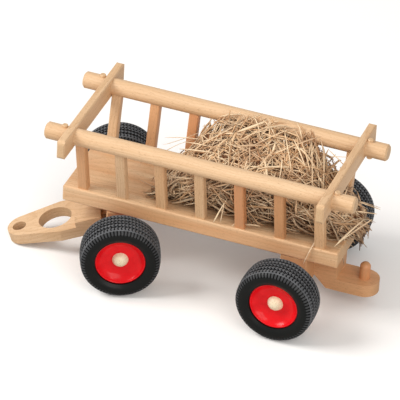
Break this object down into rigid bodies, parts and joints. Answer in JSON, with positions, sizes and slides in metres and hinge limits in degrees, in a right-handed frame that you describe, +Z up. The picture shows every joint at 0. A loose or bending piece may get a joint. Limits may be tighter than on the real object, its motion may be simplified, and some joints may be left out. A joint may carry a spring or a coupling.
{
  "type": "toy hay wagon",
  "caption": "Wooden toy hay wagon with open side racks, rubber-tyred wheels, a steered front truck, a hinged drawbar, a rear hitch peg and a load of hay.",
  "frame": {"origin": "on the floor, under the middle of the whole wagon's box", "axes": "+X forward to the drawbar, +Y to the wagon's left, +Z up"},
  "size_m": [0.3318, 0.1852, 0.138],
  "materials": {
    "beech_board": "sanded and oiled beech board",
    "beech_dowel": "sanded and oiled beech dowel",
    "hay": "dry loose hay",
    "axle_steel": "bright drawn steel rod",
    "red_plastic": "glossy red moulded plastic",
    "tyre_rubber": "black moulded rubber"
  },
  "bodies": {
    "wagon": {"bed": "beech_board", "left_pole": "beech_dowel", "right_pole": "beech_dowel", "front_crossbar": "beech_board", "rear_crossbar": "beech_board", "left_stake_1": "beech_board", "left_stake_2": "beech_board", "left_stake_3": "beech_board", "left_stake_4": "beech_board", "left_stake_5": "beech_board", "left_stake_6": "beech_board", "left_stake_7": "beech_board", "right_stake_1": "beech_board", "right_stake_2": "beech_board", "right_stake_3": "beech_board", "right_stake_4": "beech_board", "right_stake_5": "beech_board", "right_stake_6": "beech_board", "right_stake_7": "beech_board", "front_left_pole_peg": "beech_dowel", "front_right_pole_peg": "beech_dowel", "rear_left_pole_peg": "beech_dowel", "rear_right_pole_peg": "beech_dowel", "rear_axle_block": "beech_board", "rear_axle": "axle_steel", "rear_left_wheel_cap": "beech_dowel", "rear_right_wheel_cap": "beech_dowel", "hitch_block": "beech_board", "hitch_peg": "beech_dowel", "kingpin": "beech_dowel", "hay_load": "hay"},
    "front_truck": {"front_axle_block": "beech_board", "front_axle": "axle_steel", "front_left_wheel_cap": "beech_dowel", "front_right_wheel_cap": "beech_dowel"},
    "drawbar": {"drawbar": "beech_board"},
    "front_left_wheel": {"front_left_rim": "red_plastic", "front_left_tyre": "tyre_rubber"},
    "front_right_wheel": {"front_right_rim": "red_plastic", "front_right_tyre": "tyre_rubber"},
    "rear_left_wheel": {"rear_left_rim": "red_plastic", "rear_left_tyre": "tyre_rubber"},
    "rear_right_wheel": {"rear_right_rim": "red_plastic", "rear_right_tyre": "tyre_rubber"}
  },
  "joints": [
    {"name": "steering", "type": "hinge", "parent": "wagon", "child": "front_truck", "pos_m": [0.07439, 0, 0.0555], "axis": [0, 0, 1], "range_deg": [-46.8, 3.2]},
    {"name": "drawbar_lift", "type": "hinge", "parent": "front_truck", "child": "drawbar", "pos_m": [0.07439, 0, 0.035], "axis": [0.3714, -0.9285, 0], "range_deg": [0, 27]},
    {"name": "front_left_spin", "type": "hinge", "parent": "front_truck", "child": "front_left_wheel", "pos_m": [0.04728, 0.06778, 0.035], "axis": [-0.3714, 0.9285, 0], "continuous": true},
    {"name": "front_right_spin", "type": "hinge", "parent": "front_truck", "child": "front_right_wheel", "pos_m": [0.1015, -0.06778, 0.035], "axis": [-0.3714, 0.9285, 0], "continuous": true},
    {"name": "rear_left_spin", "type": "hinge", "parent": "wagon", "child": "rear_left_wheel", "pos_m": [-0.09861, 0.073, 0.035], "axis": [0, 1, 0], "continuous": true},
    {"name": "rear_right_spin", "type": "hinge", "parent": "wagon", "child": "rear_right_wheel", "pos_m": [-0.09861, -0.073, 0.035], "axis": [0, 1, 0], "continuous": true}
  ]
}
